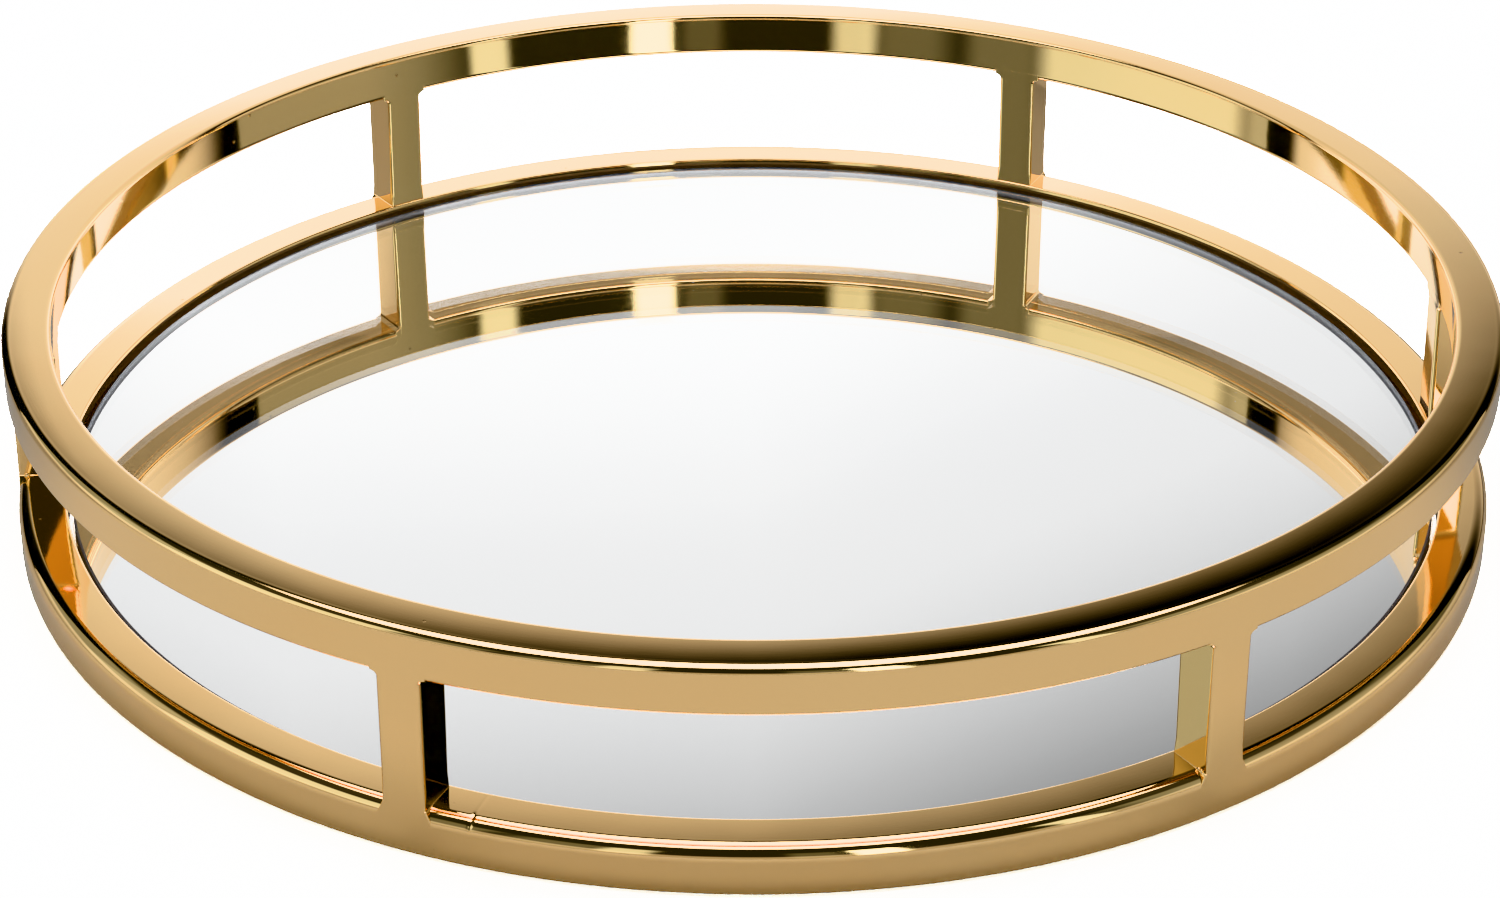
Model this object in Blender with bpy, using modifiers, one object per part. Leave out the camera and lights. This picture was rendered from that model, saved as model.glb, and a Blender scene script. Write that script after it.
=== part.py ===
"""A round vanity tray: two rings of square tube joined by six uprights, round a mirror base.

Metres, +Z up. The origin is on the tray's axis, on the surface that it stands on.
Angles are measured from the front (-Y), positive towards +X.
"""

import math

import bmesh
import bpy
from mathutils import Matrix, Vector

# ---------------------------------------------------------------- frame
OUTER_DIAMETER = 0.310
FRAME_HEIGHT = 0.048

RING_TUBE_WIDTH = 0.010          # across the ring, from outside to inside
RING_TUBE_HEIGHT = 0.010
RING_TUBE_WALL = 0.001
RING_TUBE_CORNER = 0.0018        # outside radius of the tube's rounded edges

UPRIGHT_ANGLES = [math.radians(place) for place in (-24, 34, 94, 154, 215, 275)]  # spaced by eye for welding
UPRIGHT_WIDTH = 0.0088           # along the ring
UPRIGHT_SETBACK = 0.0004         # the uprights' inner face stands back from the rings'
UPRIGHT_WALL = 0.001
UPRIGHT_CORNER = 0.0009
DRAIN_HOLE_DIAMETER = 0.004      # lets the plating bath drain from the rings into the uprights

# ---------------------------------------------------------------- mirror base, from the tabs up
TAB_COUNT = 6
TAB_FLOOR_CLEARANCE = 0.0005     # from the surface that the tray stands on up to the tabs
TAB_THICKNESS = 0.001
TAB_WIDTH = 0.013
TAB_LENGTH = 0.016               # from the ring's inner wall towards the axis
TAB_END_CORNER = 0.004
TAB_HOLE_FROM_END = 0.006        # hole centre to the tab's inner end

BOARD_THICKNESS = 0.0025
BOARD_EDGE_CLEARANCE = 0.001     # between the board and the bottom ring

TAPE_THICKNESS = 0.0005
TAPE_WIDTH = 0.020
TAPE_LENGTH = 0.200
TAPE_COUNT = 4
TAPE_PITCH = 0.056

MIRROR_THICKNESS = 0.003
MIRROR_EDGE_CLEARANCE = 0.001    # between the glass and the bottom ring
MIRROR_ARRIS = 0.0004            # the small flat ground on the glass's edges

FELT_THICKNESS = 0.0008
FELT_TAB_CLEARANCE = 0.002       # between the felt's edge and the tabs

SCREW_SHANK_DIAMETER = 0.0028
SCREW_HEAD_DIAMETER = 0.0046
SCREW_POINT_LENGTH = 0.0008
SCREW_TIP_COVER = 0.0007         # board left over the screw's point
RECESS_WIDTH = 0.0006            # one slot of the cross recess
RECESS_LENGTH = 0.0025
RECESS_DEPTH = 0.0006

# ---------------------------------------------------------------- fits
JOINT_GAP = 0.0003               # between pieces that touch or are welded
SCREW_CLEARANCE = 0.0003         # round a screw, in its holes

# ---------------------------------------------------------------- fineness
RING_SEGMENTS = 96
DISC_SEGMENTS = 96
SCREW_SEGMENTS = 16
CORNER_STEPS = 2                 # straight pieces in one rounded corner
SHARP_ANGLE = math.radians(30)

# ---------------------------------------------------------------- worked out from the above
OUTER_RADIUS = OUTER_DIAMETER / 2
INNER_RADIUS = OUTER_RADIUS - RING_TUBE_WIDTH
FACET_SHARE = math.cos(math.pi / RING_SEGMENTS)   # a facet's middle is this much nearer the axis
CLEAR_RADIUS = INNER_RADIUS * FACET_SHARE

TOP_RING_BOTTOM = FRAME_HEIGHT - RING_TUBE_HEIGHT
UPRIGHT_BOTTOM = RING_TUBE_HEIGHT + JOINT_GAP
UPRIGHT_TOP = TOP_RING_BOTTOM - JOINT_GAP
UPRIGHT_DEPTH = RING_TUBE_WIDTH - UPRIGHT_SETBACK

TAB_BOTTOM = TAB_FLOOR_CLEARANCE
TAB_TOP = TAB_BOTTOM + TAB_THICKNESS
BOARD_BOTTOM = TAB_TOP + JOINT_GAP
BOARD_TOP = BOARD_BOTTOM + BOARD_THICKNESS
BOARD_RADIUS = CLEAR_RADIUS - BOARD_EDGE_CLEARANCE
TAPE_BOTTOM = BOARD_TOP + JOINT_GAP
TAPE_TOP = TAPE_BOTTOM + TAPE_THICKNESS
MIRROR_BOTTOM = TAPE_TOP + JOINT_GAP
MIRROR_RADIUS = CLEAR_RADIUS - MIRROR_EDGE_CLEARANCE
TAB_OUTER_END = math.sqrt((CLEAR_RADIUS - JOINT_GAP) ** 2 - (TAB_WIDTH / 2) ** 2)
TAB_INNER_END = INNER_RADIUS - TAB_LENGTH
SCREW_RADIUS = TAB_INNER_END + TAB_HOLE_FROM_END   # distance of the screws from the axis
SCREW_TIP = BOARD_TOP - SCREW_TIP_COVER
FELT_TOP = BOARD_BOTTOM - JOINT_GAP
FELT_BOTTOM = FELT_TOP - FELT_THICKNESS
FELT_RADIUS = TAB_INNER_END - FELT_TAB_CLEARANCE

TAB_STEP = 2 * math.pi / TAB_COUNT
FIRST_TAB_ANGLE = (UPRIGHT_ANGLES[0] + UPRIGHT_ANGLES[1]) / 2

# ---------------------------------------------------------------- finishes
FINISHES = {
    "plated_brass": ((0.80, 0.58, 0.30), 0.16, 1.0),
    "mirror": ((0.92, 0.93, 0.93), 0.03, 1.0),
    "fibreboard": ((0.23, 0.14, 0.08), 0.75, 0.0),
    "tape": ((0.85, 0.85, 0.82), 0.80, 0.0),
    "felt": ((0.03, 0.03, 0.03), 0.95, 0.0),
    "zinc_steel": ((0.62, 0.63, 0.64), 0.35, 1.0),
}


# ---------------------------------------------------------------- small helpers
def clear_scene():
    """Remove every object and collection that the scene starts with."""
    for thing in list(bpy.data.objects):
        bpy.data.objects.remove(thing, do_unlink=True)
    for group in list(bpy.data.collections):
        bpy.data.collections.remove(group)


def make_collection(name):
    group = bpy.data.collections.new(name)
    bpy.context.scene.collection.children.link(group)
    return group


def make_finish(name):
    """A Principled material with a finish's colour, roughness and metallic value."""
    colour, roughness, metallic = FINISHES[name]
    material = bpy.data.materials.new(name)
    material.use_nodes = True
    shader = material.node_tree.nodes["Principled BSDF"]
    shader.inputs["Base Color"].default_value = (*colour, 1.0)
    shader.inputs["Roughness"].default_value = roughness
    shader.inputs["Metallic"].default_value = metallic
    material.diffuse_color = (*colour, 1.0)
    return material


def add_piece(name, mesh, finish, location=(0, 0, 0), turn=0.0):
    """Put a mesh in the tray as a named piece, turned about +Z."""
    piece = bpy.data.objects.new(name, mesh)
    piece.location = location
    piece.rotation_euler = (0, 0, turn)
    tray.objects.link(piece)
    if not mesh.materials:
        mesh.materials.append(finishes[finish])
    return piece


def add_cutter(name, mesh, location=(0, 0, 0), turn=0.0):
    cutter = bpy.data.objects.new(name, mesh)
    cutter.location = location
    cutter.rotation_euler = (0, 0, turn)
    cutter.display_type = "WIRE"
    cutter.hide_render = True
    cutters.objects.link(cutter)
    return cutter


def cut(piece, cutter):
    """Take a cutter's shape away from a piece."""
    boolean = piece.modifiers.new("cut_" + cutter.name, "BOOLEAN")
    boolean.operation = "DIFFERENCE"
    boolean.solver = "EXACT"
    boolean.object = cutter


def shade(mesh):
    """Smooth round walls and keep the edges between faces sharp."""
    mesh.shade_smooth()
    mesh.set_sharp_from_angle(angle=SHARP_ANGLE)


def spot(radius, angle, height=0.0):
    """A point at a radius and an angle from the front."""
    return Vector((radius * math.sin(angle), -radius * math.cos(angle), height))


def rounded_box_outline(width, height, corner, steps):
    """Points round a rectangle centred on the origin, anticlockwise, with rounded corners."""
    points = []
    for quarter in range(4):
        side_x = (1, -1, -1, 1)[quarter]
        side_y = (1, 1, -1, -1)[quarter]
        centre = Vector((side_x * (width / 2 - corner), side_y * (height / 2 - corner)))
        for step in range(steps + 1):
            angle = math.radians(90) * (quarter + step / steps)
            points.append(centre + corner * Vector((math.cos(angle), math.sin(angle))))
    return points


def cylinder_mesh(name, radius, height, segments):
    """An upright cylinder standing on its own origin."""
    shape = bmesh.new()
    bmesh.ops.create_cone(
        shape, cap_ends=True, segments=segments, radius1=radius, radius2=radius, depth=height,
        matrix=Matrix.Translation((0, 0, height / 2)),
    )
    mesh = bpy.data.meshes.new(name)
    shape.to_mesh(mesh)
    shape.free()
    shade(mesh)
    return mesh


def box_mesh(name, size, middle=(0, 0, 0)):
    """A box of a given size, with its middle at a given point."""
    shape = bmesh.new()
    bmesh.ops.create_cube(shape, size=1.0)
    bmesh.ops.scale(shape, vec=size, verts=shape.verts)
    bmesh.ops.translate(shape, vec=middle, verts=shape.verts)
    mesh = bpy.data.meshes.new(name)
    shape.to_mesh(mesh)
    shape.free()
    return mesh


def extruded_mesh(name, outlines, height):
    """A plate from flat outlines, holes included, standing on its own origin."""
    curve = bpy.data.curves.new(name, "CURVE")
    curve.dimensions = "2D"
    curve.fill_mode = "BOTH"
    curve.extrude = height / 2
    for outline in outlines:
        spline = curve.splines.new("POLY")
        spline.points.add(len(outline) - 1)
        for point, place in zip(spline.points, outline):
            point.co = (place.x, place.y, 0.0, 1.0)
        spline.use_cyclic_u = True
    drawing = bpy.data.objects.new(name, curve)
    bpy.context.scene.collection.objects.link(drawing)
    drawing.location.z = height / 2
    bpy.context.view_layer.update()
    evaluated = drawing.evaluated_get(bpy.context.evaluated_depsgraph_get())
    mesh = bpy.data.meshes.new_from_object(evaluated)
    mesh.transform(drawing.matrix_world)
    bpy.data.objects.remove(drawing, do_unlink=True)
    shape = bmesh.new()
    shape.from_mesh(mesh)
    bmesh.ops.remove_doubles(shape, verts=shape.verts, dist=0.00001)
    bmesh.ops.recalc_face_normals(shape, faces=shape.faces)
    shape.to_mesh(mesh)
    shape.free()
    mesh.name = name
    shade(mesh)
    return mesh


def profile_mesh(name, lines, closed):
    """Lines of (radius, height) points, ready to be turned about +Z."""
    points = []
    edges = []
    for line in lines:
        first = len(points)
        points += [(radius, 0.0, height) for radius, height in line]
        edges += [(index, index + 1) for index in range(first, len(points) - 1)]
        if closed:
            edges.append((len(points) - 1, first))
    mesh = bpy.data.meshes.new(name)
    mesh.from_pydata(points, edges, [])
    return mesh


def turn_profile(piece, segments):
    """Turn a profile a full circle about +Z."""
    screw = piece.modifiers.new("turn", "SCREW")
    screw.axis = "Z"
    screw.angle = 2 * math.pi
    screw.steps = segments
    screw.render_steps = segments
    screw.use_merge_vertices = True
    screw.merge_threshold = 0.00001
    screw.use_smooth_shade = True
    screw.use_normal_calculate = False


# ---------------------------------------------------------------- pieces
def make_ring(name, bottom, hole_height):
    """A rolled ring of hollow tube, with a drain hole under or over each upright."""
    middle = Vector((OUTER_RADIUS - RING_TUBE_WIDTH / 2, bottom + RING_TUBE_HEIGHT / 2))
    outside = rounded_box_outline(RING_TUBE_WIDTH, RING_TUBE_HEIGHT, RING_TUBE_CORNER, CORNER_STEPS)
    inside = rounded_box_outline(
        RING_TUBE_WIDTH - 2 * RING_TUBE_WALL,
        RING_TUBE_HEIGHT - 2 * RING_TUBE_WALL,
        max(RING_TUBE_CORNER - RING_TUBE_WALL, RING_TUBE_WALL / 2),
        1,
    )
    outer_loop = [tuple(middle + point) for point in reversed(outside)]
    inner_loop = [tuple(middle + point) for point in inside]
    ring = add_piece(name, profile_mesh(name, [outer_loop, inner_loop], closed=True), "plated_brass")
    turn_profile(ring, RING_SEGMENTS)
    for number, angle in enumerate(UPRIGHT_ANGLES):
        drill = cylinder_mesh("drain_hole", DRAIN_HOLE_DIAMETER / 2, 3 * RING_TUBE_WALL, SCREW_SEGMENTS)
        place = spot(middle.x, angle, hole_height - 1.5 * RING_TUBE_WALL)
        cut(ring, add_cutter(f"{name}_drain_hole_{number + 1}", drill, place))
    return ring


def make_uprights():
    """Short square tubes between the rings, their outer faces flush with the rings'."""
    outside = rounded_box_outline(UPRIGHT_WIDTH, UPRIGHT_DEPTH, UPRIGHT_CORNER, CORNER_STEPS)
    bore = rounded_box_outline(
        UPRIGHT_WIDTH - 2 * UPRIGHT_WALL, UPRIGHT_DEPTH - 2 * UPRIGHT_WALL, UPRIGHT_WALL / 2, 1
    )
    mesh = extruded_mesh("upright", [outside, bore], UPRIGHT_TOP - UPRIGHT_BOTTOM)
    flush_face = math.sqrt(OUTER_RADIUS**2 - (UPRIGHT_WIDTH / 2) ** 2)
    for number, angle in enumerate(UPRIGHT_ANGLES):
        place = spot(flush_face - UPRIGHT_DEPTH / 2, angle, UPRIGHT_BOTTOM)
        add_piece(f"upright_{number + 1}", mesh, "plated_brass", place, angle)


def make_mirror():
    """A round glass plate with its sharp edges ground off."""
    mesh = cylinder_mesh("mirror", MIRROR_RADIUS, MIRROR_THICKNESS, DISC_SEGMENTS)
    mirror = add_piece("mirror", mesh, "mirror", (0, 0, MIRROR_BOTTOM))
    arris = mirror.modifiers.new("arris", "BEVEL")
    arris.width = MIRROR_ARRIS
    arris.segments = 1
    arris.limit_method = "ANGLE"
    arris.angle_limit = math.radians(60)
    return mirror


def make_tape():
    """Parallel strips of foam tape between the board and the glass."""
    mesh = box_mesh("tape", (TAPE_WIDTH, TAPE_LENGTH, TAPE_THICKNESS), (0, 0, TAPE_THICKNESS / 2))
    for number in range(TAPE_COUNT):
        across = (number - (TAPE_COUNT - 1) / 2) * TAPE_PITCH
        add_piece(f"mounting_tape_{number + 1}", mesh, "tape", (across, 0, TAPE_BOTTOM))


def make_board():
    """A fibreboard disc with a blind pilot hole for each screw."""
    mesh = cylinder_mesh("backing_board", BOARD_RADIUS, BOARD_THICKNESS, DISC_SEGMENTS)
    board = add_piece("backing_board", mesh, "fibreboard", (0, 0, BOARD_BOTTOM))
    radius = SCREW_SHANK_DIAMETER / 2 + SCREW_CLEARANCE
    overshoot = BOARD_THICKNESS
    depth = SCREW_TIP + SCREW_CLEARANCE - BOARD_BOTTOM
    drill = cylinder_mesh("pilot_hole", radius, depth + overshoot, SCREW_SEGMENTS)
    for number in range(TAB_COUNT):
        place = spot(SCREW_RADIUS, FIRST_TAB_ANGLE + number * TAB_STEP, BOARD_BOTTOM - overshoot)
        cut(board, add_cutter(f"pilot_hole_{number + 1}", drill, place))
    return board


def make_felt():
    mesh = cylinder_mesh("felt_lining", FELT_RADIUS, FELT_THICKNESS, DISC_SEGMENTS)
    return add_piece("felt_lining", mesh, "felt", (0, 0, FELT_BOTTOM))


def tab_outline():
    """A strip that runs from the ring's wall (+Y) to a rounded inner end (-Y)."""
    half = TAB_WIDTH / 2
    outline = [Vector((half, TAB_OUTER_END)), Vector((-half, TAB_OUTER_END))]
    for side, first_angle in ((-1, 180), (1, 270)):
        centre = Vector((side * (half - TAB_END_CORNER), TAB_INNER_END + TAB_END_CORNER))
        for step in range(CORNER_STEPS + 1):
            angle = math.radians(first_angle + 90 * step / CORNER_STEPS)
            outline.append(centre + TAB_END_CORNER * Vector((math.cos(angle), math.sin(angle))))
    return outline


def countersink_mesh():
    """The cutter for a screw's hole in a tab: a cone under the head and a hole round the shank."""
    shank = SCREW_SHANK_DIAMETER / 2 + SCREW_CLEARANCE
    head = SCREW_HEAD_DIAMETER / 2 + SCREW_CLEARANCE
    beyond = TAB_THICKNESS
    return profile_mesh("countersink", [[
        (0.0, TAB_TOP + beyond),
        (shank, TAB_TOP + beyond),
        (shank, TAB_BOTTOM + head - shank),
        (head, TAB_BOTTOM),
        (head, TAB_BOTTOM - beyond),
        (0.0, TAB_BOTTOM - beyond),
    ]], closed=False)


def make_tabs():
    """Steel tabs, welded inside the bottom ring between the uprights."""
    mesh = extruded_mesh("support_tab", [tab_outline()], TAB_THICKNESS)
    for number in range(TAB_COUNT):
        angle = FIRST_TAB_ANGLE + number * TAB_STEP
        place = Vector((0, 0, TAB_BOTTOM))
        tab = add_piece(f"support_tab_{number + 1}", mesh, "plated_brass", place, angle + math.pi)
        hole = add_cutter(f"tab_hole_{number + 1}", countersink_mesh(), spot(SCREW_RADIUS, angle))
        turn_profile(hole, SCREW_SEGMENTS)
        cut(tab, hole)


def screw_profile():
    """Half of a countersunk screw, head down: from the point over the side to the head."""
    shank = SCREW_SHANK_DIAMETER / 2
    head = SCREW_HEAD_DIAMETER / 2
    return [
        (0.0, SCREW_TIP),
        (shank / 2, SCREW_TIP),
        (shank, SCREW_TIP - SCREW_POINT_LENGTH),
        (shank, TAB_BOTTOM + head - shank),
        (head, TAB_BOTTOM),
        (0.0, TAB_BOTTOM),
    ]


def make_screws():
    """Countersunk screws with a cross recess, flush with the underside of the tabs."""
    slot = (RECESS_LENGTH, RECESS_WIDTH, 2 * RECESS_DEPTH)
    across = (RECESS_WIDTH, RECESS_LENGTH, 2 * RECESS_DEPTH)
    for number in range(TAB_COUNT):
        angle = FIRST_TAB_ANGLE + number * TAB_STEP
        place = spot(SCREW_RADIUS, angle)
        profile = profile_mesh("tab_screw", [screw_profile()], closed=False)
        screw = add_piece(f"tab_screw_{number + 1}", profile, "zinc_steel", place, angle)
        turn_profile(screw, SCREW_SEGMENTS)
        for word, size in (("slot", slot), ("cross_slot", across)):
            recess = box_mesh(word, size, (0, 0, TAB_BOTTOM))
            cut(screw, add_cutter(f"{word}_{number + 1}", recess, place, angle))


clear_scene()
tray = make_collection("vanity_tray")
cutters = make_collection("cutters")
finishes = {name: make_finish(name) for name in FINISHES}

make_ring("bottom_ring", 0.0, RING_TUBE_HEIGHT)
make_ring("top_ring", TOP_RING_BOTTOM, TOP_RING_BOTTOM)
make_uprights()
make_mirror()
make_tape()
make_board()
make_felt()
make_tabs()
make_screws()
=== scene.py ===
"""Looks for a round vanity tray: plated brass rings and uprights round a mirror base.

Metres, +Z up. The origin is on the tray's axis, on the surface that it stands on.
Angles round the tray are measured from the front (-Y), positive towards +X.
"""

import math

import bmesh
import bpy
from mathutils import Matrix, Vector


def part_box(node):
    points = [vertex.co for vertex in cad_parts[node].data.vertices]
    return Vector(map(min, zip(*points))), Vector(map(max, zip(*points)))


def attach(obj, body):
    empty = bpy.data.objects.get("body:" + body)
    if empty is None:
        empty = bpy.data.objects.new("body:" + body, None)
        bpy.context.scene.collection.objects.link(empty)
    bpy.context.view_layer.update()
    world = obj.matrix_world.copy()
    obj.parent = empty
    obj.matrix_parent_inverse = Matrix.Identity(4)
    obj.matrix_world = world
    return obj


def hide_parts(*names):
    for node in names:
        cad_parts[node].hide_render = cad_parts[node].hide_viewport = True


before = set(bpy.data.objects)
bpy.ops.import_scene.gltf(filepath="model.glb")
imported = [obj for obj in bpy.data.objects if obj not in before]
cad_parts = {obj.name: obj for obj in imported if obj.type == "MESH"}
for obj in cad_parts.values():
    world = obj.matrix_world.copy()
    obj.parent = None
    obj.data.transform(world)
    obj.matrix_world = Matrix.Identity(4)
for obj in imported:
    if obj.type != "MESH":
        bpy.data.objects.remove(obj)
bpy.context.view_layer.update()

# ---------------------------------------------------------------- sizes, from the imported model
RING_LOW, RING_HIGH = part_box("bottom_ring")
TOP_LOW, TOP_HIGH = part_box("top_ring")
GLASS_LOW, GLASS_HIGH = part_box("mirror")
FELT_LOW, FELT_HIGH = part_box("felt_lining")

OUTER_RADIUS = RING_HIGH.x
TUBE_HEIGHT = RING_HIGH.z - RING_LOW.z
TUBE_WIDTH = TUBE_HEIGHT
INNER_RADIUS = OUTER_RADIUS - TUBE_WIDTH
FOOT_EDGE = 0.0029               # radius of the bottom ring's rounded edge that the uprights stand over
HEAD_EDGE = 0.0008               # radius of the top ring's edge over the windows
INSIDE_EDGE = 0.0014             # radius of both rings' lower inside edge
SEAM_ANGLE = math.radians(-19.2)  # where the bottom ring's two ends were welded together

POST_COUNT = 6
POST_WIDTH = 0.0088
POST_EDGE = 0.0008               # radius of an upright's rounded edges
FACE_MARGIN = 0.0001             # from a flat face's end to the line of points that keeps its shading flat
BELL_BASE = 2.718                # base of the curves that fall away from a seam or the card's foot
DOUBLES = 1e-7                   # points nearer than this are one point


# ---------------------------------------------------------------- node work
class Reading:
    """A node's output that can be used in sums, as a number can."""

    def __init__(self, bench, out):
        self.bench = bench
        self.out = out

    def maths(self, operation, *values):
        node = self.bench.add("ShaderNodeMath", {"operation": operation}, dict(enumerate(values)))
        return Reading(self.bench, node.outputs[0])

    def __add__(self, other):
        return self.maths("ADD", self, other)

    def __radd__(self, other):
        return self.maths("ADD", other, self)

    def __sub__(self, other):
        return self.maths("SUBTRACT", self, other)

    def __rsub__(self, other):
        return self.maths("SUBTRACT", other, self)

    def __mul__(self, other):
        return self.maths("MULTIPLY", self, other)

    def __rmul__(self, other):
        return self.maths("MULTIPLY", other, self)

    def __truediv__(self, other):
        return self.maths("DIVIDE", self, other)

    def __rtruediv__(self, other):
        return self.maths("DIVIDE", other, self)

    def __neg__(self):
        return self.maths("MULTIPLY", self, -1.0)

    def __abs__(self):
        return self.maths("ABSOLUTE", self)

    def __pow__(self, other):
        return self.maths("POWER", self, other)

    def __rpow__(self, other):
        return self.maths("POWER", other, self)

    def __mod__(self, other):
        return self.maths("MODULO", self, other)

    def at_least(self, other):
        return self.maths("MAXIMUM", self, other)

    def at_most(self, other):
        return self.maths("MINIMUM", self, other)

    def above(self, other):
        return self.maths("GREATER_THAN", self, other)

    def rise(self, start, end, low=0.0, high=1.0):
        """Goes smoothly from low to high as the reading goes from start to end."""
        node = self.bench.add(
            "ShaderNodeMapRange",
            {"interpolation_type": "SMOOTHSTEP"},
            {"Value": self, "From Min": start, "From Max": end, "To Min": low, "To Max": high},
        )
        return Reading(self.bench, node.outputs["Result"])

    def hill(self, centre, half, soft):
        """One within half of centre, falling smoothly to nought over soft."""
        return abs(self - centre).rise(half, half + soft, 1.0, 0.0)


class Bench:
    """A node tree while it is being put together."""

    def __init__(self, tree):
        self.tree = tree

    def add(self, kind, settings=None, values=None):
        node = self.tree.nodes.new(kind)
        for name, value in (settings or {}).items():
            if name == "stops":
                self.set_stops(node.color_ramp, value)
            else:
                setattr(node, name, value)
        for key, value in (values or {}).items():
            if isinstance(value, Reading):
                self.tree.links.new(value.out, node.inputs[key])
            else:
                node.inputs[key].default_value = value
        return node

    def read(self, kind, out=0, settings=None, values=None):
        """Adds a node and gives the reading of one of its outputs."""
        return Reading(self, self.add(kind, settings, values).outputs[out])

    @staticmethod
    def set_stops(ramp, stops):
        while len(ramp.elements) < len(stops):
            ramp.elements.new(1.0)
        for element, (place, colour) in zip(ramp.elements, stops):
            element.position = place
            element.color = colour

    def split(self, vector):
        node = self.add("ShaderNodeSeparateXYZ", None, {"Vector": vector})
        return [Reading(self, out) for out in node.outputs]

    def join(self, x=0.0, y=0.0, z=0.0):
        return self.read("ShaderNodeCombineXYZ", 0, None, {"X": x, "Y": y, "Z": z})

    def vector(self, operation, *values, out=0):
        return self.read("ShaderNodeVectorMath", out, {"operation": operation}, dict(enumerate(values)))

    def mix_colour(self, share, first, second):
        node = self.add("ShaderNodeMix", {"data_type": "RGBA"}, {"Factor": share})
        for socket, value in ((node.inputs[6], first), (node.inputs[7], second)):
            if isinstance(value, Reading):
                self.tree.links.new(value.out, socket)
            else:
                socket.default_value = value
        return Reading(self, node.outputs[2])

    def noise(self, place, scale, detail=2.0, roughness=0.5, out="Fac"):
        return self.read(
            "ShaderNodeTexNoise", out, None,
            {"Vector": place, "Scale": scale, "Detail": detail, "Roughness": roughness},
        )

    def turn(self, first, second):
        """The angle whose tangent is first over second."""
        return self.read("ShaderNodeMath", 0, {"operation": "ARCTAN2"}, {0: first, 1: second})

    def bump(self, height, distance, strength=1.0, under=None):
        values = {"Height": height, "Distance": distance, "Strength": strength}
        if under is not None:
            values["Normal"] = under
        return self.read("ShaderNodeBump", 0, None, values)


def start_material(name):
    """A new material, its bench, its Principled shader and the reading of Object coordinates."""
    material = bpy.data.materials.new(name)
    material.use_nodes = True
    bench = Bench(material.node_tree)
    shader = material.node_tree.nodes["Principled BSDF"]
    place = bench.read("ShaderNodeTexCoord", "Object")
    return material, bench, shader, place


def feed(bench, shader, **readings):
    """Links readings to the shader's sockets; base_color stands for Base Color."""
    for name, reading in readings.items():
        socket = shader.inputs[name.replace("_", " ").title()]
        bench.tree.links.new(reading.out, socket)


# ---------------------------------------------------------------- finishes
def plated_brass():
    """Polished plate: a warm gold with faint polishing lines, slow ripples and a few pits."""
    material, bench, shader, place = start_material("plated_brass_polished")
    x, y, z = bench.split(place)
    radius = bench.vector("LENGTH", bench.join(x, y, 0.0), out="Value")
    angle = bench.turn(x, -y)

    # lines left by the polishing wheel, which ran along the tube
    along = bench.join(angle * 0.6, radius * 60.0, z * 60.0)
    lines = bench.noise(along, 60.0, 3.0, 0.6)
    ripple = bench.noise(place, 55.0, 1.0)
    cloud = bench.noise(place, 16.0, 3.0)
    grain = bench.noise(place, 900.0, 2.0)
    cells = {"Vector": place, "Scale": 260.0, "Randomness": 1.0}
    pits = bench.read("ShaderNodeTexVoronoi", "Distance", None, cells)
    chance = bench.read("ShaderNodeTexVoronoi", "Color", None, cells)
    rare = bench.split(chance)[0].above(0.965)
    pit = pits.rise(0.05, 0.13, 1.0, 0.0) * rare

    tone = bench.mix_colour(
        cloud.rise(0.35, 0.65), (1.0, 0.66, 0.31, 1.0), (0.985, 0.67, 0.325, 1.0)
    )
    colour = bench.mix_colour(pit * 0.8, tone, (0.40, 0.25, 0.12, 1.0))
    roughness = 0.025 + lines * 0.035 + cloud.rise(0.4, 0.8) * 0.02 + pit * 0.25
    slow = bench.bump(ripple, 0.00009, 0.5)
    fine = bench.bump(lines + grain * 0.3 - pit * 6.0, 0.0000035, 0.6, slow)
    shader.inputs["Metallic"].default_value = 1.0
    feed(bench, shader, base_color=colour, roughness=roughness, normal=fine)
    return material


def mirror_glass():
    """Float glass, polished, with a little dust."""
    material, bench, shader, place = start_material("mirror_glass")
    dust = bench.noise(place, 1400.0, 1.0).rise(0.80, 0.86)
    smear = bench.noise(place, 22.0, 3.0).rise(0.52, 0.80)
    shader.inputs["Base Color"].default_value = (0.978, 0.982, 0.981, 1.0)
    shader.inputs["Transmission Weight"].default_value = 1.0
    shader.inputs["IOR"].default_value = 1.52
    shader.inputs["Specular IOR Level"].default_value = 0.2
    feed(bench, shader, roughness=dust * 0.25 + smear * 0.006)
    return material


def silvering():
    """The silver coat under the glass."""
    material, bench, shader, place = start_material("mirror_silvering")
    cloud = bench.noise(place, 9.0, 2.0)
    colour = bench.mix_colour(cloud.rise(0.3, 0.7), (0.955, 0.96, 0.965, 1.0), (0.965, 0.967, 0.967, 1.0))
    shader.inputs["Metallic"].default_value = 1.0
    feed(bench, shader, base_color=colour, roughness=cloud * 0.008)
    return material


def ground_edge():
    """The mirror's edge, ground matt, with painted shade: darker towards its top, lighter towards its back.
    """
    material, bench, shader, place = start_material("mirror_ground_edge")
    grain = bench.noise(place, 2500.0, 2.0)
    patch = bench.noise(place, 140.0, 2.0)
    # painted shade: the edge's colour runs from a pale blue tint at its back to near black at its top
    depth = bench.split(place)[2].rise(GLASS_LOW.z, GLASS_HIGH.z, 0.0, 1.0)
    colour = bench.mix_colour(depth + patch * 0.2 - 0.1, (0.34, 0.36, 0.42, 1.0), (0.05, 0.055, 0.075, 1.0))
    feed(
        bench, shader, base_color=colour, roughness=0.45 + grain * 0.25,
        normal=bench.bump(grain, 0.00002, 0.6),
    )
    return material


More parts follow.
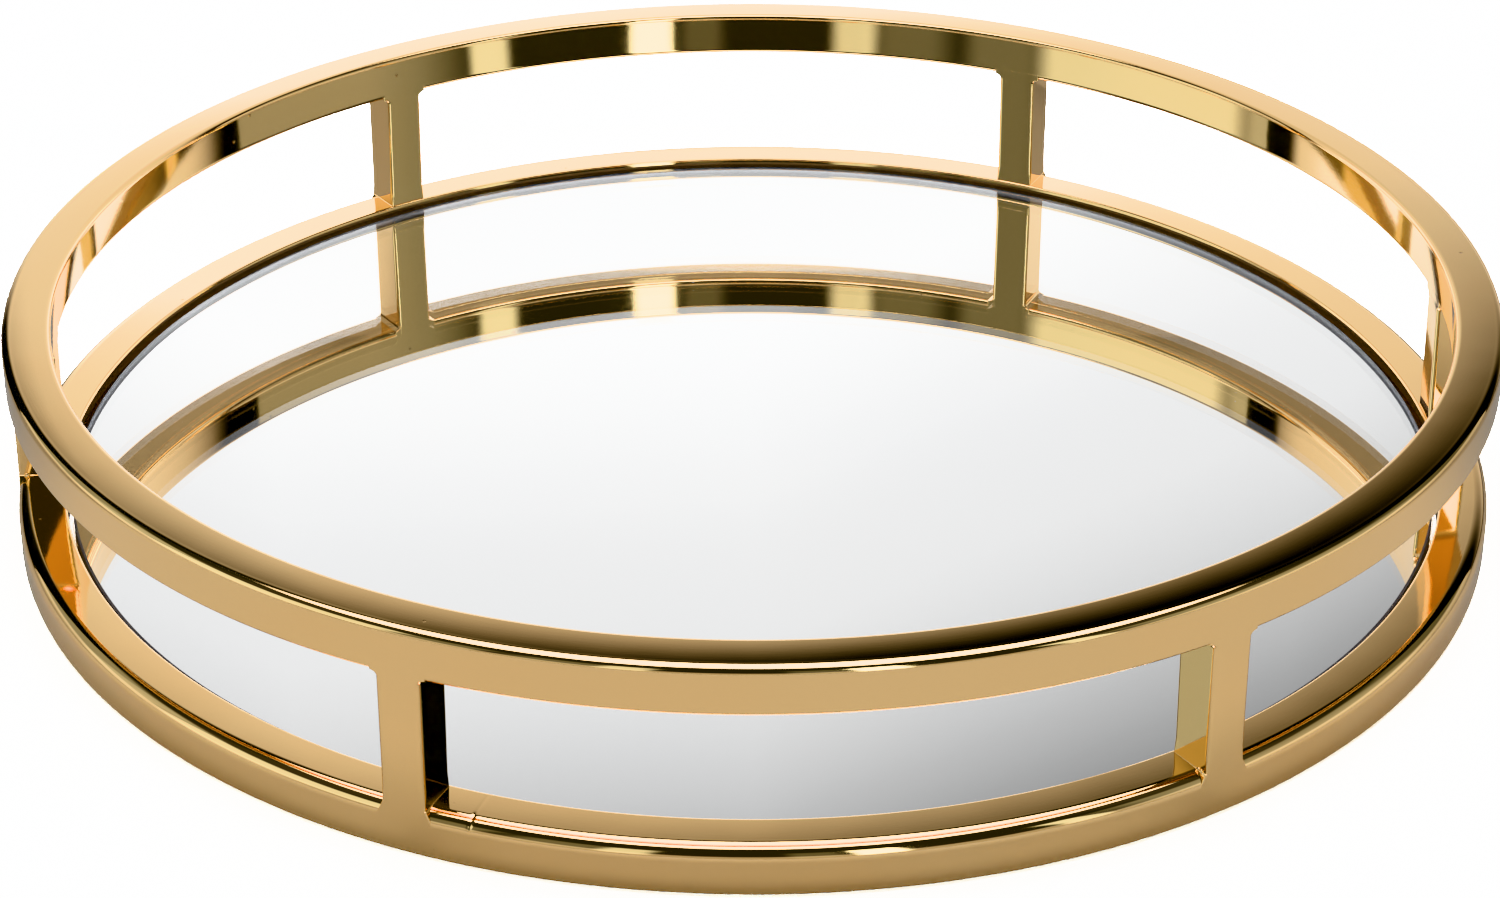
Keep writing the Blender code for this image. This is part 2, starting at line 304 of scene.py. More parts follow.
def fibreboard():
    """Thin hard board: brown, with pressed fibres and darker specks."""
    material, bench, shader, place = start_material("fibreboard_brown")
    x, y, z = bench.split(place)
    fibre = bench.noise(bench.join(x * 3.0, y, z), 420.0, 4.0, 0.65)
    cross = bench.noise(bench.join(x, y * 3.5, z), 300.0, 3.0, 0.6)
    speck = bench.noise(place, 1500.0, 1.0).rise(0.68, 0.76)
    colour = bench.mix_colour(
        (fibre * 0.6 + cross * 0.4).rise(0.3, 0.7), (0.115, 0.062, 0.030, 1.0), (0.24, 0.145, 0.078, 1.0)
    )
    colour = bench.mix_colour(speck * 0.7, colour, (0.05, 0.03, 0.018, 1.0))
    feed(
        bench, shader, base_color=colour, roughness=0.62 + fibre * 0.2,
        normal=bench.bump(fibre + cross * 0.5, 0.00006, 0.5),
    )
    return material


def foam_tape():
    """White foam tape, with its fine cells."""
    material, bench, shader, place = start_material("foam_tape_white")
    cell = bench.read("ShaderNodeTexVoronoi", "Distance", None, {"Vector": place, "Scale": 2600.0})
    patch = bench.noise(place, 60.0, 2.0)
    colour = bench.mix_colour(cell.rise(0.1, 0.6), (0.86, 0.85, 0.81, 1.0), (0.74, 0.73, 0.69, 1.0))
    feed(
        bench, shader, base_color=colour, roughness=0.72 + patch * 0.15,
        normal=bench.bump(cell, 0.00008, 0.6),
    )
    return material


def felt():
    """Charcoal felt, with matted fibres and a soft sheen."""
    material, bench, shader, place = start_material("felt_charcoal")
    x, y, z = bench.split(place)
    swirl = bench.noise(place, 90.0, 2.0, out="Color")
    bent = bench.vector("MULTIPLY_ADD", swirl, (0.004, 0.004, 0.004), place)
    fibre = bench.noise(bent, 1900.0, 4.0, 0.7)
    clump = bench.noise(place, 160.0, 3.0)
    colour = bench.mix_colour(
        (fibre * 0.7 + clump * 0.3).rise(0.35, 0.68), (0.012, 0.012, 0.013, 1.0), (0.060, 0.059, 0.060, 1.0)
    )
    shader.inputs["Sheen Weight"].default_value = 0.6
    shader.inputs["Sheen Roughness"].default_value = 0.45
    feed(
        bench, shader, base_color=colour, roughness=0.86 + fibre * 0.12,
        normal=bench.bump(fibre + clump * 0.6, 0.00025, 0.8),
    )
    return material


def zinc_steel():
    """Zinc-plated screws, with turning marks and a slight bloom."""
    material, bench, shader, place = start_material("zinc_steel_screw")
    marks = bench.noise(place, 2400.0, 2.0)
    bloom = bench.noise(place, 700.0, 2.0)
    colour = bench.mix_colour(bloom.rise(0.4, 0.7), (0.62, 0.63, 0.65, 1.0), (0.50, 0.51, 0.50, 1.0))
    shader.inputs["Metallic"].default_value = 1.0
    feed(
        bench, shader, base_color=colour, roughness=0.24 + bloom * 0.22,
        normal=bench.bump(marks, 0.00002, 0.5),
    )
    return material


BRASS = plated_brass()
GLASS = mirror_glass()
SILVER = silvering()
EDGE = ground_edge()
BOARD = fibreboard()
TAPE = foam_tape()
FELT = felt()
ZINC = zinc_steel()


# ---------------------------------------------------------------- geometry trees
def start_tree(name, inputs):
    """A geometry tree with a Geometry input and output and the named size inputs."""
    tree = bpy.data.node_groups.new(name, "GeometryNodeTree")
    tree.interface.new_socket("Geometry", in_out="INPUT", socket_type="NodeSocketGeometry")
    for label, kind, default in inputs:
        socket = tree.interface.new_socket(label, in_out="INPUT", socket_type=kind)
        if default is not None:
            socket.default_value = default
    tree.interface.new_socket("Geometry", in_out="OUTPUT", socket_type="NodeSocketGeometry")
    bench = Bench(tree)
    entry = bench.add("NodeGroupInput")
    return tree, bench, {out.name: Reading(bench, out) for out in entry.outputs if out.name}


def end_tree(bench, shape, material):
    """Realizes the instances, sets the material and ends the tree."""
    shape = bench.read("GeometryNodeRealizeInstances", 0, None, {"Geometry": shape})
    shape = bench.read("GeometryNodeSetMaterial", 0, None, {"Geometry": shape, "Material": material})
    bench.add("NodeGroupOutput", None, {"Geometry": shape})


def turning_tree():
    """Turns a profile, drawn with x as radius and z as height, round the tray's axis."""
    tree, bench, given = start_tree(
        "turned_round_axis",
        [
            ("Segments", "NodeSocketInt", 512),
            ("Seam Angle", "NodeSocketFloat", 0.0),
            ("Seam Fineness", "NodeSocketFloat", 1.0),
            ("Seam Depth", "NodeSocketFloat", 0.0),
            ("Seam Width", "NodeSocketFloat", 0.0005),
            ("Ground Radius", "NodeSocketFloat", 1.0),
            ("Ripple Height", "NodeSocketFloat", 0.0),
            ("Ripple Shift", "NodeSocketFloat", 0.0),
            ("Material", "NodeSocketMaterial", None),
        ],
    )
    count = bench.read(
        "GeometryNodeAttributeDomainSize", "Point Count",
        {"component": "MESH"}, {"Geometry": given["Geometry"]},
    )
    grid = bench.read(
        "GeometryNodeMeshGrid", "Mesh", None,
        {"Size X": 1.0, "Size Y": 1.0, "Vertices X": given["Segments"] + 1.0, "Vertices Y": count + 1.0},
    )
    index = bench.read("GeometryNodeInputIndex")
    row = bench.read("ShaderNodeMath", 0, {"operation": "FLOOR"}, {0: (index + 0.5) / (count + 1.0)})
    step = index - row * (count + 1.0)
    point = bench.read(
        "GeometryNodeSampleIndex", "Value", {"data_type": "FLOAT_VECTOR", "domain": "POINT"},
        {"Geometry": given["Geometry"], "Index": step % count},
    )
    bench.tree.links.new(
        bench.read("GeometryNodeInputPosition").out, point.out.node.inputs["Value"]
    )
    px, py, pz = bench.split(point)
    share = row * 2.0 / given["Segments"] - 1.0
    turn = math.pi * (given["Seam Fineness"] * share + (1.0 - given["Seam Fineness"]) * share * abs(share))
    angle = turn + given["Seam Angle"]
    place = bench.join(px * angle.maths("SINE", angle), -(px * angle.maths("COSINE", angle)), pz)
    shape = bench.read("GeometryNodeSetPosition", 0, None, {"Geometry": grid, "Position": place})
    shape = bench.read("GeometryNodeMergeByDistance", 0, None, {"Geometry": shape, "Distance": DOUBLES})
    shape = bench.read("GeometryNodeFlipFaces", 0, None, {"Mesh": shape})

    # the welded seam is dressed flush on the outside and left as a small groove elsewhere
    here = bench.read("GeometryNodeInputPosition")
    hx, hy = bench.split(here)[:2]
    radius = bench.vector("LENGTH", bench.join(hx, hy, 0.0), out="Value")
    around = bench.turn(hx, -hy)
    off = (around - given["Seam Angle"]) * radius / given["Seam Width"]
    groove = given["Seam Depth"] * (BELL_BASE ** (-(off * off)))
    inset = given["Ground Radius"] - radius
    groove = groove * inset.rise(0.00005, 0.0005) * inset.rise(0.0024, 0.0034, 1.0, 0.06)
    ripple = bench.read(
        "ShaderNodeTexNoise", 0, {"noise_dimensions": "4D"},
        {"Vector": here, "W": given["Ripple Shift"], "Scale": 22.0, "Detail": 1.0},
    )
    lift = (ripple - 0.5) * given["Ripple Height"] - groove
    normal = bench.read("GeometryNodeInputNormal")
    push = bench.read("ShaderNodeVectorMath", 0, {"operation": "SCALE"}, {0: normal, "Scale": lift})
    shape = bench.read("GeometryNodeSetPosition", 0, None, {"Geometry": shape, "Offset": push})
    end_tree(bench, shape, given["Material"])
    return tree


def standing_tree():
    """Stands a piece, drawn on +X from its own middle, at each point, turned to face away from the axis."""
    tree, bench, given = start_tree(
        "stood_round_axis",
        [
            ("Piece", "NodeSocketObject", None),
            ("Material", "NodeSocketMaterial", None),
        ],
    )
    x, y = bench.split(bench.read("GeometryNodeInputPosition"))[:2]
    spin = bench.join(0.0, 0.0, bench.turn(y, x))
    piece = bench.read(
        "GeometryNodeObjectInfo", "Geometry",
        {"transform_space": "ORIGINAL"}, {"Object": given["Piece"]},
    )
    placed = bench.read(
        "GeometryNodeInstanceOnPoints", 0, None,
        {"Points": given["Geometry"], "Instance": piece, "Rotation": spin},
    )
    end_tree(bench, placed, given["Material"])
    return tree


def beading_tree():
    """Leaves a small uneven bead of weld at each point, no two of them alike."""
    tree, bench, given = start_tree(
        "weld_bead_at_points",
        [
            ("Bead Radius", "NodeSocketFloat", 0.0006),
            ("Unevenness", "NodeSocketFloat", 0.0002),
            ("Seed", "NodeSocketInt", 3),
            ("Material", "NodeSocketMaterial", None),
        ],
    )
    ball = bench.read(
        "GeometryNodeMeshIcoSphere", "Mesh", None,
        {"Radius": given["Bead Radius"], "Subdivisions": 4},
    )
    here = bench.read("GeometryNodeInputPosition")
    lump = (bench.noise(here, 1300.0, 1.0) - 0.5) * given["Unevenness"]
    normal = bench.read("GeometryNodeInputNormal")
    push = bench.read("ShaderNodeVectorMath", 0, {"operation": "SCALE"}, {0: normal, "Scale": lump})
    ball = bench.read("GeometryNodeSetPosition", 0, None, {"Geometry": ball, "Offset": push})
    spin = bench.read(
        "FunctionNodeRandomValue", 0, {"data_type": "FLOAT_VECTOR"},
        {"Min": (0.0, 0.0, 0.0), "Max": (6.0, 6.0, 6.0), "Seed": given["Seed"]},
    )
    stretch = bench.read(
        "FunctionNodeRandomValue", 0, {"data_type": "FLOAT_VECTOR"},
        {"Min": (0.7, 0.7, 0.6), "Max": (1.2, 1.2, 0.9), "Seed": given["Seed"] + 1.0},
    )
    placed = bench.read(
        "GeometryNodeInstanceOnPoints", 0, None,
        {"Points": given["Geometry"], "Instance": ball, "Rotation": spin, "Scale": stretch},
    )
    end_tree(bench, placed, given["Material"])
    return tree


TURNING = turning_tree()
STANDING = standing_tree()
BEADING = beading_tree()


def run_tree(name, mesh, tree, material, **sizes):
    """Runs a geometry tree on a mesh and returns a plain mesh object with closed seams and outward faces."""
    base = bpy.data.objects.new(name + "_pattern", mesh)
    bpy.context.scene.collection.objects.link(base)
    modifier = base.modifiers.new("shape", "NODES")
    modifier.node_group = tree
    wanted = {label.replace("_", " ").title(): value for label, value in sizes.items()}
    wanted["Material"] = material
    for item in tree.interface.items_tree:
        if item.in_out == "INPUT" and item.name in wanted:
            modifier[item.identifier] = wanted[item.name]
    graph = bpy.context.evaluated_depsgraph_get()
    made = bpy.data.meshes.new_from_object(base.evaluated_get(graph))
    bpy.data.objects.remove(base)
    made.name = name
    made.materials.clear()
    made.materials.append(material)
    piece = bpy.data.objects.new(name, made)
    bpy.context.scene.collection.objects.link(piece)
    close_up(made)
    return piece


def close_up(mesh, angle=30):
    """Merges doubles, drops loose edges, points the faces outwards and smooths all but sharp edges."""
    work = bmesh.new()
    work.from_mesh(mesh)
    bmesh.ops.remove_doubles(work, verts=work.verts, dist=DOUBLES)
    loose = [e for e in work.edges if not e.link_faces]
    bmesh.ops.delete(work, geom=loose, context="EDGES")
    bmesh.ops.recalc_face_normals(work, faces=work.faces)
    work.to_mesh(mesh)
    work.free()
    mesh.shade_smooth()
    mesh.set_sharp_from_angle(angle=math.radians(angle))


def mount(piece, slot, *nodes):
    """Puts a finished piece in the tray in the place of its CAD nodes."""
    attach(piece, "root")
    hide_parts(*nodes)
    return piece


# ---------------------------------------------------------------- rings
def line_mesh(name, points):
    """A closed outline in the XZ plane, as a mesh of edges."""
    mesh = bpy.data.meshes.new(name)
    count = len(points)
    mesh.from_pydata([(x, 0.0, z) for x, z in points], [(i, (i + 1) % count) for i in range(count)], [])
    return mesh


def spread(start, end, near, parts):
    """Places from start to end, with one close to each end so that the shading stays flat between."""
    step = (end - start) / parts
    inner = [start + step * i for i in range(1, parts)]
    side = near if end > start else -near
    return [start + side, *inner, end - side]


def ring_section(bottom, edges, crown_start, crown_end):
    """The tube's outline, first along the top from the inside of the ring to its outside.

    edges are the radii of the rounded edges: outer top, outer bottom, inner bottom, inner top.
    The top falls away with a slope that goes from crown_start to crown_end, as rolling leaves it.
    """
    outer_top, outer_bottom, inner_bottom, inner_top = edges
    inner, outer = INNER_RADIUS, OUTER_RADIUS
    top = bottom + TUBE_HEIGHT
    first, last = inner + inner_top, outer - outer_top

    def drop(x):
        share = (x - first) / (last - first)
        return (last - first) * (crown_start * share + (crown_end - crown_start) * share * share / 2)

    def round_off(x, z, radius, start, end):
        """Points on a rounded edge, by the angle of its normal from straight up."""
        steps = [start + (end - start) * i / 8 for i in range(9)]
        return [(x + radius * math.sin(a), z + radius * math.cos(a)) for a in steps]

    quarter = math.pi / 2
    shoulder = top - drop(last) - outer_top * math.cos(crown_end)
    points = [(x, top - drop(x)) for x in spread(first, last, FACE_MARGIN, 12)]
    points += round_off(outer - outer_top, shoulder, outer_top, crown_end, quarter)
    points += [(outer, z) for z in spread(shoulder, bottom + outer_bottom, FACE_MARGIN, 4)]
    points += round_off(outer - outer_bottom, bottom + outer_bottom, outer_bottom, quarter, 2 * quarter)
    points += [(x, bottom) for x in spread(outer - outer_bottom, inner + inner_bottom, FACE_MARGIN, 4)]
    points += round_off(inner + inner_bottom, bottom + inner_bottom, inner_bottom, 2 * quarter, 3 * quarter)
    points += [(inner, z) for z in spread(bottom + inner_bottom, top - inner_top, FACE_MARGIN, 4)]
    points += round_off(inner + inner_top, top - inner_top, inner_top, -quarter, min(crown_start, 0.0))
    return points


def make_ring(name, node, bottom, edges, crown, seam, depth, shift):
    """One ring of rolled tube, welded closed at the seam; crown gives the top's slopes in degrees."""
    outline = ring_section(bottom, edges, *[math.radians(slope) for slope in crown])
    piece = run_tree(
        name, line_mesh(name, outline), TURNING, BRASS,
        segments=512, seam_angle=seam, seam_fineness=0.12, seam_depth=depth, seam_width=0.00030,
        ground_radius=OUTER_RADIUS, ripple_height=0.00003, ripple_shift=shift,
    )
    return mount(piece, "plated_brass", node)


make_ring(
    "bottom_ring_tube", "bottom_ring", RING_LOW.z,
    (FOOT_EDGE, 0.0008, 0.0014, 0.0005), (-0.3, 1.2), SEAM_ANGLE, 0.00012, 3.0,
)
make_ring(
    "top_ring_tube", "top_ring", TOP_LOW.z,
    (0.0018, HEAD_EDGE, 0.0014, 0.0011), (-0.2, 4.4), math.radians(141.0), 0.00004, 8.0,
)


# ---------------------------------------------------------------- uprights
def post_section(half, outer, inner, edge):
    """One level of an upright, standing on +X: its outer face follows the rings' outside."""
    across = spread(-half + edge, half - edge, FACE_MARGIN, 6)
    points = [(math.sqrt(outer * outer - y * y), y) for y in across]
    steps = 5
    face = math.sqrt(outer * outer - (half - edge) ** 2)
    for i in range(steps + 1):
        a = math.pi / 2 * i / steps
        points.append((face - edge + edge * math.cos(a), half - edge + edge * math.sin(a)))
    back = math.sqrt(inner * inner - (half - edge) ** 2)
    for x in spread(face - edge, back + edge, FACE_MARGIN, 3):
        points.append((x, half))
    for i in range(steps + 1):
        a = math.pi / 2 * i / steps
        points.append((back + edge - edge * math.sin(a), half - edge + edge * math.cos(a)))
    for y in spread(half - edge, 0.0, FACE_MARGIN, 3)[:-1]:
        points.append((math.sqrt(inner * inner - y * y), y))
    other_side = [(x, -y) for x, y in reversed(points[len(across):])]
    return points + [(inner, 0.0)] + other_side


def fillet(gap, radius):
    """How far a weld fillet stands out at this distance from the surface that it runs into."""
    if gap >= radius:
        return 0.0
    gap = max(gap, 0.0)
    return radius - math.sqrt(radius * radius - (radius - gap) ** 2)


def post_levels(foot, head, foot_weld, head_weld):
    """Heights of an upright's sections, close together where its welds flare."""
    near = 0.00005
    levels = [foot - FOOT_EDGE - 0.0006, foot - FOOT_EDGE - 0.0002, foot - FOOT_EDGE, foot - FOOT_EDGE + near]
    levels += [foot - FOOT_EDGE * (1 - i / 5) for i in range(1, 5)]
    levels += [foot + foot_weld * i / 5 for i in range(6)]
    levels += [foot + foot_weld + (head - head_weld - foot - foot_weld) * i / 8 for i in range(1, 8)]
    levels += [head - head_weld * math.cos(math.pi / 2 * i / 9) for i in range(10)]
    levels += [head + HEAD_EDGE * i / 3 for i in range(1, 3)]
    levels += [head + HEAD_EDGE - near, head + HEAD_EDGE, head + HEAD_EDGE + 0.0002]
    levels += [head + INSIDE_EDGE - near, head + INSIDE_EDGE, head + INSIDE_EDGE + 0.0002, head + 0.0024]
    return levels


def post_mesh():
    """An upright with its welds: its faces run flush into the rings and fill their rounded edges."""
    foot, head = RING_HIGH.z, TOP_LOW.z
    foot_weld, head_weld = 0.0001, 0.0012
    loops = []
    for z in post_levels(foot, head, foot_weld, head_weld):
        above, below = z - foot, head - z
        half = POST_WIDTH / 2 + fillet(above, foot_weld) + fillet(below, head_weld)
        half += max(0.0, -above) * 0.45
        outer = OUTER_RADIUS
        if above < -FOOT_EDGE - 0.0001 or below < -HEAD_EDGE - 0.0001:
            outer -= 0.00004 + max(0.0, -below - HEAD_EDGE) * 0.3
        inner = INNER_RADIUS + 0.0005 * min(max(below / (head - foot), 0.0), 1.0)
        if below < -INSIDE_EDGE - 0.0001:
            inner += 0.0003
        edge = min(POST_EDGE, 0.00025 + 0.5 * min(max(above, 0.0), max(below, 0.0)))
        loops.append([(x, y, z) for x, y in post_section(half, outer, inner, edge)])
    count = len(loops[0])
    points = [p for loop in loops for p in loop]
    faces = []
    for level in range(len(loops) - 1):
        a, b = level * count, (level + 1) * count
        for i in range(count):
            j = (i + 1) % count
            faces.append((a + i, a + j, b + j, b + i))
    faces.append(tuple(reversed(range(count))))
    faces.append(tuple(range((len(loops) - 1) * count, len(loops) * count)))
    mesh = bpy.data.meshes.new("upright")
    mesh.from_pydata(points, [], faces)
    return mesh


def stand_uprights():
    """One upright at each place that the frame gives."""
    middle = OUTER_RADIUS - TUBE_WIDTH / 2
    post = post_mesh()
    post.transform(Matrix.Translation((-middle, 0.0, 0.0)))
    pattern = bpy.data.objects.new("upright_pattern", post)
    bpy.context.scene.collection.objects.link(pattern)
    names = [f"upright_{number + 1}" for number in range(POST_COUNT)]
    places = []
    for name in names:
        low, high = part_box(name)
        across = Vector((low.x + high.x, low.y + high.y, 0.0)).normalized()
        places.append(across * middle)
    points = bpy.data.meshes.new("upright_places")
    points.from_pydata(places, [], [])
    uprights = run_tree("uprights", points, STANDING, BRASS, piece=pattern)
    bpy.data.objects.remove(pattern)
    return mount(uprights, "plated_brass", *names)


def leave_beads():
    """Beads of weld that the grinding wheel did not reach: upright, side of it, radius and height."""
    foot, head = RING_HIGH.z, TOP_LOW.z
    spots = [
        ("upright_2", -1, OUTER_RADIUS - 0.0016, foot - 0.0002),
        ("upright_2", -1, OUTER_RADIUS - 0.0022, foot + 0.0001),
        ("upright_6", 1, OUTER_RADIUS - 0.0018, foot),
        ("upright_4", -1, INNER_RADIUS + 0.0009, head - 0.0001),
        ("upright_3", 1, INNER_RADIUS + 0.0016, foot),
    ]
    places = []
    for name, side, radius, height in spots:
        low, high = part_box(name)
        angle = math.atan2(low.x + high.x, -low.y - high.y) + side * (POST_WIDTH / 2 + 0.0001) / radius
        places.append((radius * math.sin(angle), -radius * math.cos(angle), height))
    points = bpy.data.meshes.new("bead_places")
    points.from_pydata(places, [], [])
    beads = run_tree("weld_beads", points, BEADING, BRASS, bead_radius=0.0006, unevenness=0.0003, seed=3)
    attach(beads, "root")


stand_uprights()
leave_beads()


# ---------------------------------------------------------------- mirror
def glass_section():
    """The plate's outline from the middle of its top, over the ground edge, to the middle of its back."""
    radius, arris = GLASS_HIGH.x, 0.0004
    top, low = GLASS_HIGH.z, GLASS_LOW.z
    return [
        (0.0, top), (radius * 0.5, top), (radius - arris, top), (radius, top - arris),
        (radius, (top + low) / 2), (radius, low + arris), (radius - arris, low),
        (radius * 0.5, low), (0.0, low),
    ]


glass = run_tree("mirror_plate", line_mesh("mirror_plate", glass_section()), TURNING, GLASS, segments=384)
glass.data.materials.append(EDGE)
glass.data.materials.append(SILVER)
for face in glass.data.polygons:
    face.material_index = 0 if face.normal.z > 0.9 else 2 if face.normal.z < -0.9 else 1
mount(glass, "mirror", "mirror")


# ---------------------------------------------------------------- what carries the mirror
def lay_felt():
    """A felt disc glued under the board, its cut edge a little soft."""
    radius, low, high = FELT_HIGH.x, FELT_LOW.z, FELT_HIGH.z
    edge = (high - low) / 3
    outline = [(0.0, high), (radius * 0.35, high), (radius * 0.7, high), (radius - edge, high)]
    outline += [(radius - edge * 0.3, high - edge * 0.3), (radius, high - edge), (radius, low + edge)]
    outline += [(radius - edge * 0.3, low + edge * 0.3), (radius - edge, low)]
    outline += [(radius * share / 100, low) for share in (96, *range(88, 0, -8))]
    outline += [(0.0, low)]
    piece = run_tree(
        "felt_disc", line_mesh("felt_disc", outline), TURNING, FELT,
        segments=256, ripple_height=0.00012, ripple_shift=5.0,
    )
    mount(piece, "felt", "felt_lining")


def tape_mesh(name, low, high):
    """A strip of foam tape between two corners, its cut sides pressed out a little in the middle."""
    thick = high.z - low.z
    corner, sides, levels = 0.0012, 5, 6
    points, faces = [], []
    middle = (low + high) / 2
    reach = (high - low) / 2
    for level in range(levels + 1):
        share = level / levels
        bulge = -0.35 * thick * (2 * share - 1) ** 2
        for turn, (sx, sy) in enumerate(((1, 1), (-1, 1), (-1, -1), (1, -1))):
            for i in range(sides + 1):
                a = math.pi / 2 * (turn + i / sides)
                x = sx * (reach.x - corner) + (corner + bulge) * math.cos(a)
                y = sy * (reach.y - corner) + (corner + bulge) * math.sin(a)
                points.append((middle.x + x, middle.y + y, low.z + thick * share))
    count = 4 * (sides + 1)
    for level in range(levels):
        a, b = level * count, (level + 1) * count
        for i in range(count):
            j = (i + 1) % count
            faces.append((a + i, a + j, b + j, b + i))
    faces.append(tuple(reversed(range(count))))
    faces.append(tuple(range(levels * count, (levels + 1) * count)))
    mesh = bpy.data.meshes.new(name)
    mesh.from_pydata(points, [], faces)
    mesh.materials.append(TAPE)
    close_up(mesh)
    return mesh


def lay_tapes():
    """The strips of foam tape between the board and the glass."""
    for node in [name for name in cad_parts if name.startswith("mounting_tape")]:
        name = node.replace("mounting", "foam")
        piece = bpy.data.objects.new(name, tape_mesh(name, *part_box(node)))
        bpy.context.scene.collection.objects.link(piece)
        mount(piece, "tape", node)


def finish_hidden_metal():
    """The board, tabs and screws keep their solids and get their finishes."""
    finishes = {"backing_board": BOARD, "support_tab": BRASS, "tab_screw": ZINC}
    for node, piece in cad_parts.items():
        for start, finish in finishes.items():
            if node.startswith(start):
                for place in piece.material_slots:
                    place.material = finish


lay_felt()
lay_tapes()
finish_hidden_metal()


# ---------------------------------------------------------------- studio
def studio_sky():
    """A dim room with pale low walls, a soft box overhead and narrow lamps round the tray."""
    world = bpy.data.worlds.new("studio")
    bpy.context.scene.world = world
    world.use_nodes = True
    bench = Bench(world.node_tree)
    bench.tree.nodes.clear()
    ray = bench.vector("NORMALIZE", bench.read("ShaderNodeTexCoord", "Generated"))
    x, y, z = bench.split(ray)
    height = z.maths("ARCSINE", z) * math.degrees(1.0)
    around = bench.turn(x, -y) * math.degrees(1.0)
    behind = bench.turn(x, y) * math.degrees(1.0)
    pale = height.rise(8.0, 40.0, 0.22, 0.03) * abs(behind).hill(92.0, 14.0, 16.0)
    over = bench.vector("DOT_PRODUCT", ray, (0.0, 0.19, 0.982), out="Value")
    lamp = over.rise(math.cos(math.radians(31)), math.cos(math.radians(26))) * 8.0
    band = height.hill(22.0, 12.0, 8.0)
    low_walls = height.rise(11.0, 18.0, 0.45, 0.0)
    strips = (around.hill(18.0, 2.5, 1.5) * 8.0 + around.hill(-18.0, 2.0, 3.0) * 1.0
              + around.hill(9.0, 2.0, 3.0) * 0.15 + around.hill(-28.0, 3.0, 7.0) * 0.2
              + around.hill(-45.0, 4.0, 5.0) * 0.22 + around.hill(47.5, 2.0, 2.5) * 1.4) * band
    front_left = around.hill(-73.0, 18.0, 5.0) * height.hill(22.0, 9.0, 8.0) * 1.1
    sides = (around.hill(82.0, 20.0, 14.0) * 0.3 + around.hill(-128.0, 12.0, 10.0) * 0.35
             + around.hill(-148.0, 5.0, 6.0) * 3.0 + around.hill(130.0, 18.0, 10.0) * 0.13
             + around.hill(160.0, 3.0, 4.0) * 0.8 + around.hill(-103.0, 5.0, 6.0) * 0.5) * band
    white = pale + lamp + low_walls
    cool = strips + front_left + sides + 0.03
    light = bench.join(white + cool * 0.87, white + cool, white + cool * 0.98)
    direct = bench.read("ShaderNodeLightPath", "Is Camera Ray")
    light = bench.vector("ADD", light, bench.join(direct * 30.0, direct * 30.0, direct * 30.0))
    ground = bench.add("ShaderNodeBackground", None, {"Color": light, "Strength": 1.0})
    bench.add("ShaderNodeOutputWorld", None, {"Surface": Reading(bench, ground.outputs[0])})


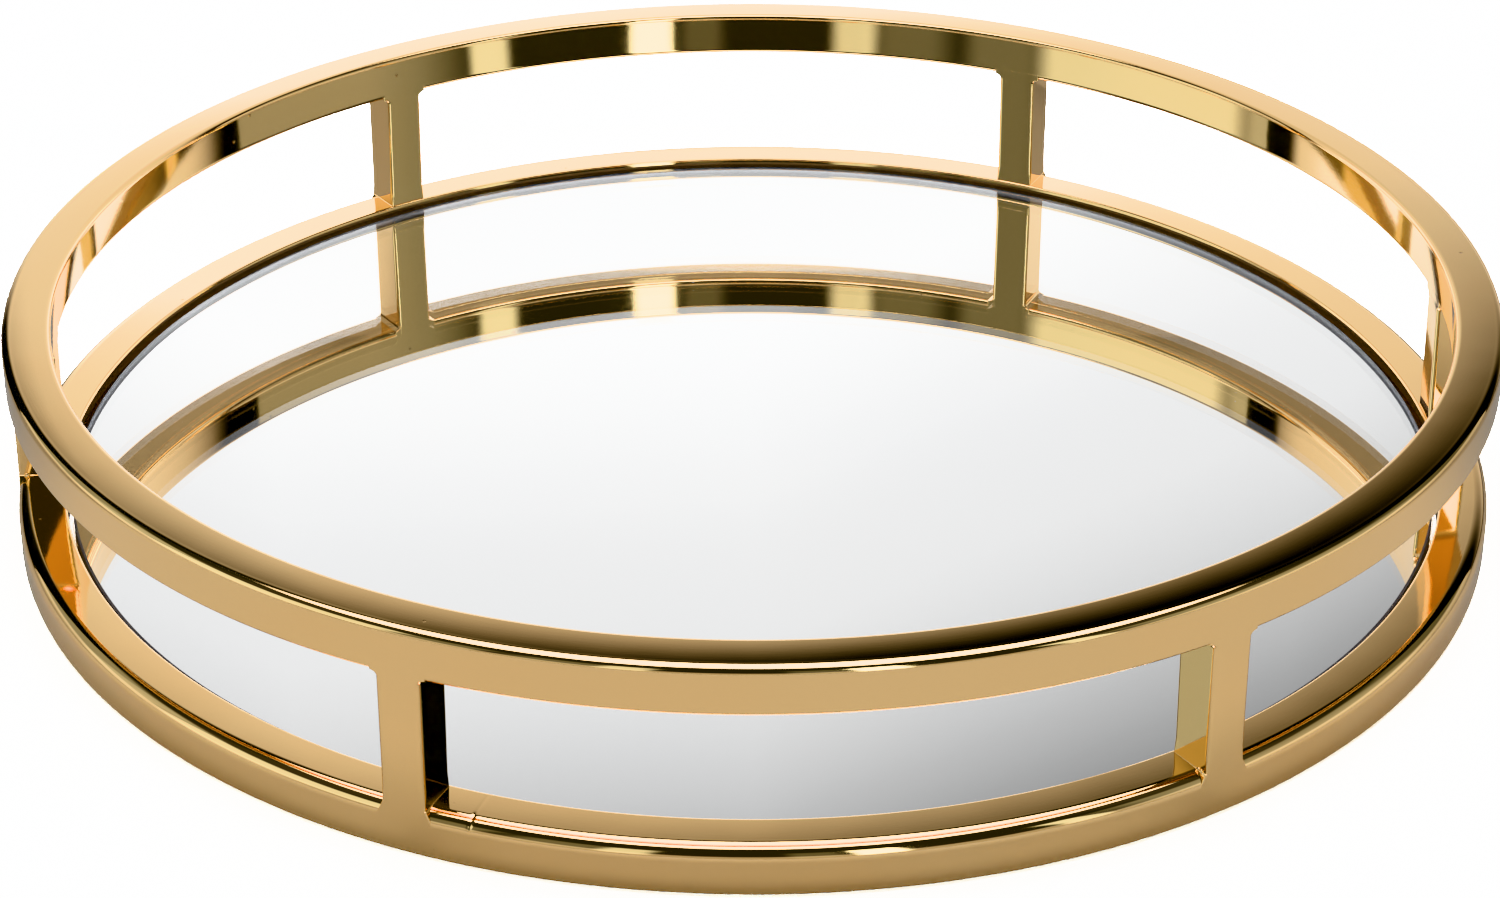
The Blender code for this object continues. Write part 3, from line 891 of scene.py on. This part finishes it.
def white_card():
    """A card just behind the tray, hidden from the camera: lit most strongly low down and on the
    left, and dark towards its top. It gives the mirror its gradient."""
    bpy.ops.mesh.primitive_grid_add(x_subdivisions=8, y_subdivisions=8, size=1.0)
    card = bpy.context.object
    card.name = "white_card"
    card.data.transform(Matrix.Diagonal((0.9, 0.42, 1.0, 1.0)))
    card.data.transform(Matrix.Rotation(math.pi / 2, 4, "X"))
    card.data.transform(Matrix.Translation((0.0, 0.189, 0.21)))
    material = bpy.data.materials.new("card_lit_from_below")
    material.use_nodes = True
    bench = Bench(material.node_tree)
    bench.tree.nodes.clear()
    x, _, z = bench.split(bench.read("ShaderNodeTexCoord", "Object"))
    right, left = x.at_least(0.0), (-x).at_least(0.0)
    reach = z + right * 0.48 + (right - 0.150).at_least(0.0) * 0.3
    reach = reach - left.at_most(0.130) * 0.06 + (left - 0.130).at_least(0.0) * 0.57
    reach = reach + (left - 0.200).at_least(0.0) * 2.0
    low_glow = (BELL_BASE ** ((0.075 - reach) / 0.020)).at_most(1.0) * 3.0
    light = (low_glow + reach.rise(0.150, 0.355, 0.95, 0.0)) * z.rise(0.018, 0.027, 0.10, 1.0)
    shine = bench.read("ShaderNodeEmission", 0, None, {"Color": (1.0, 1.0, 1.0, 1.0), "Strength": light})
    bench.add("ShaderNodeOutputMaterial", None, {"Surface": shine})
    card.data.materials.append(material)
    card.visible_camera = False
    card.visible_shadow = False


def pale_floor():
    """A wide pale floor that the tray stands on, in two copies: one painted light for the camera, one dim
    with painted shade for reflections.
    """
    bpy.ops.mesh.primitive_circle_add(
        vertices=128, radius=4.0, fill_type="NGON", location=(0.0, 0.0, -0.0003)
    )
    floor = bpy.context.object
    floor.name = "floor"
    material = bpy.data.materials.new("floor_pale")
    material.use_nodes = True
    bench = Bench(material.node_tree)
    bench.tree.nodes.clear()
    direct = bench.read("ShaderNodeLightPath", "Is Camera Ray")
    # painted shade: for reflections the floor is darker from just in front of the tray's middle backwards
    back = bench.split(bench.read("ShaderNodeTexCoord", "Object"))[1].rise(-0.07, 0.03)
    grey_with_painted_shade = bench.mix_colour(back, (0.315, 0.315, 0.315, 1.0), (0.17, 0.17, 0.17, 1.0))
    plain = bench.read("ShaderNodeBsdfDiffuse", 0, None, {"Color": grey_with_painted_shade})
    # painted light: the camera sees the floor with a sixteen-fold colour, so that it shows white round the
    # tray
    bright = bench.read("ShaderNodeBsdfDiffuse", 0, None, {"Color": (16.0, 16.0, 16.0, 1.0)})
    both = bench.read("ShaderNodeMixShader", 0, None, {0: direct, 1: plain, 2: bright})
    bench.add("ShaderNodeOutputMaterial", None, {"Surface": both})
    floor.data.materials.append(material)


def set_camera():
    """The camera stands in front of the tray, looking down at it."""
    data = bpy.data.cameras.new("camera")
    camera = bpy.data.objects.new("camera", data)
    bpy.context.scene.collection.objects.link(camera)
    camera.location = (0.0, -0.6982, 0.3859)
    aim = Vector((-0.0006, -0.007, 0.0105)) - camera.location
    camera.rotation_euler = aim.to_track_quat("-Z", "Y").to_euler()
    data.lens = 88.97
    data.sensor_width = 36.0
    data.clip_start = 0.01
    bpy.context.scene.camera = camera


studio_sky()
white_card()
pale_floor()
set_camera()
bpy.context.scene.view_settings.view_transform = "Khronos PBR Neutral"
